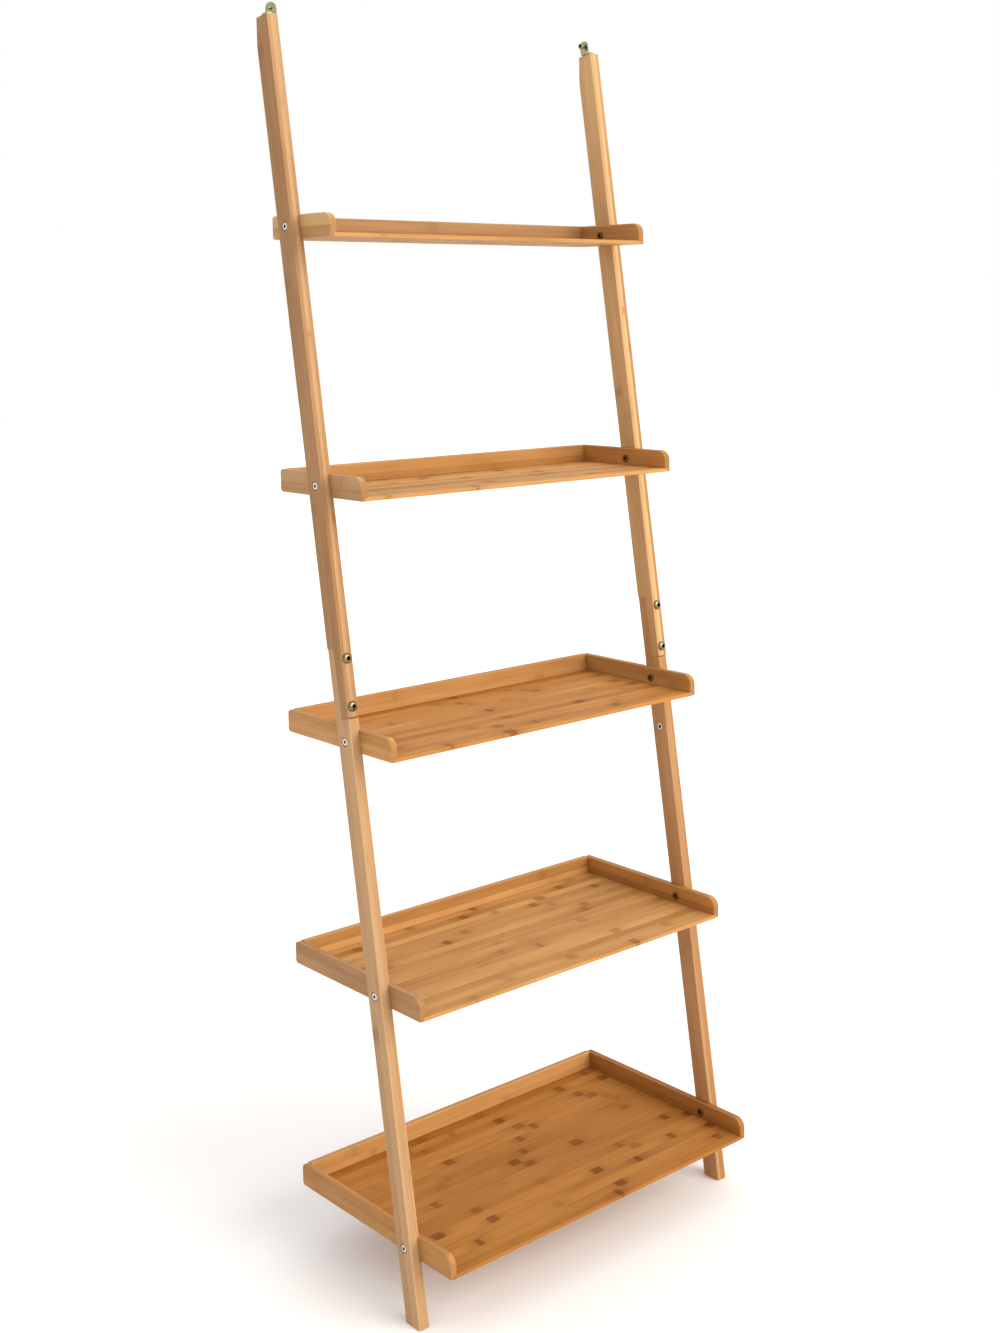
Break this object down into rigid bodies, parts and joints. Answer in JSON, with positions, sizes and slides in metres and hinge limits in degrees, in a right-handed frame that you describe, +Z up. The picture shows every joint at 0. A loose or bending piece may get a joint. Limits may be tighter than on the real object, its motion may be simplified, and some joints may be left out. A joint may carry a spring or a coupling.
{
  "type": "ladder shelf",
  "caption": "Ladder shelf that leans on a wall: open-fronted bamboo trays, deeper towards the floor, bolted between two slanted side rails with swivelling angle brackets on top.",
  "frame": {"origin": "middle of the shelf's bounding box at floor level", "axes": "+Z up; +Y towards the wall, square to the trays' backs; +X to the right seen from the front"},
  "size_m": [0.6036, 0.352, 1.7768],
  "materials": {
    "bamboo": "satin lacquered caramel bamboo, grain along each board",
    "bamboo_panel": "satin lacquered glued bamboo strips running across the shelf",
    "steel": "bright zinc-plated steel",
    "brass": "dull dark brass",
    "yellow_zinc": "yellow-passivated zinc on pressed steel sheet"
  },
  "bodies": {
    "shelf": {"left_upper_rail": "bamboo", "left_lower_rail": "bamboo", "left_bracket_wood_screw": "yellow_zinc", "left_lap_screw_1": "brass", "left_lap_insert_1": "brass", "left_lap_screw_2": "brass", "left_lap_insert_2": "brass", "left_insert_nut": "steel", "right_upper_rail": "bamboo", "right_lower_rail": "bamboo", "right_bracket_wood_screw": "yellow_zinc", "right_lap_screw_1": "brass", "right_lap_insert_1": "brass", "right_lap_screw_2": "brass", "right_lap_insert_2": "brass", "right_insert_nut": "steel", "tray_1_left_board": "bamboo", "tray_1_left_bolt": "steel", "tray_1_left_sleeve_nut": "brass", "tray_1_right_board": "bamboo", "tray_1_right_bolt": "steel", "tray_1_right_sleeve_nut": "brass", "tray_1_back_board": "bamboo", "tray_1_bottom_panel": "bamboo_panel", "tray_2_left_board": "bamboo", "tray_2_left_bolt": "steel", "tray_2_left_sleeve_nut": "brass", "tray_2_right_board": "bamboo", "tray_2_right_bolt": "steel", "tray_2_right_sleeve_nut": "brass", "tray_2_back_board": "bamboo", "tray_2_bottom_panel": "bamboo_panel", "tray_3_left_board": "bamboo", "tray_3_left_bolt": "steel", "tray_3_left_sleeve_nut": "brass", "tray_3_right_board": "bamboo", "tray_3_right_bolt": "steel", "tray_3_right_sleeve_nut": "brass", "tray_3_back_board": "bamboo", "tray_3_bottom_panel": "bamboo_panel", "tray_4_left_board": "bamboo", "tray_4_left_bolt": "steel", "tray_4_left_sleeve_nut": "brass", "tray_4_right_board": "bamboo", "tray_4_right_bolt": "steel", "tray_4_right_sleeve_nut": "brass", "tray_4_back_board": "bamboo", "tray_4_bottom_panel": "bamboo_panel", "tray_5_left_board": "bamboo", "tray_5_left_bolt": "steel", "tray_5_left_sleeve_nut": "brass", "tray_5_right_board": "bamboo", "tray_5_right_bolt": "steel", "tray_5_right_sleeve_nut": "brass", "tray_5_back_board": "bamboo", "tray_5_bottom_panel": "bamboo_panel"},
    "left_bracket": {"left_top_bracket": "yellow_zinc", "left_bracket_small_screw": "steel"},
    "right_bracket": {"right_top_bracket": "yellow_zinc", "right_bracket_small_screw": "steel"}
  },
  "joints": [
    {"name": "left_bracket_swivel", "type": "hinge", "parent": "shelf", "child": "left_bracket", "pos_m": [-0.2933, 0.16149, 1.75599], "axis": [0, 0.1542, 0.988], "range_deg": [-235, 1]},
    {"name": "right_bracket_swivel", "type": "hinge", "parent": "shelf", "child": "right_bracket", "pos_m": [0.2933, 0.16149, 1.75599], "axis": [0, 0.1542, 0.988], "range_deg": [-35, 201]}
  ]
}
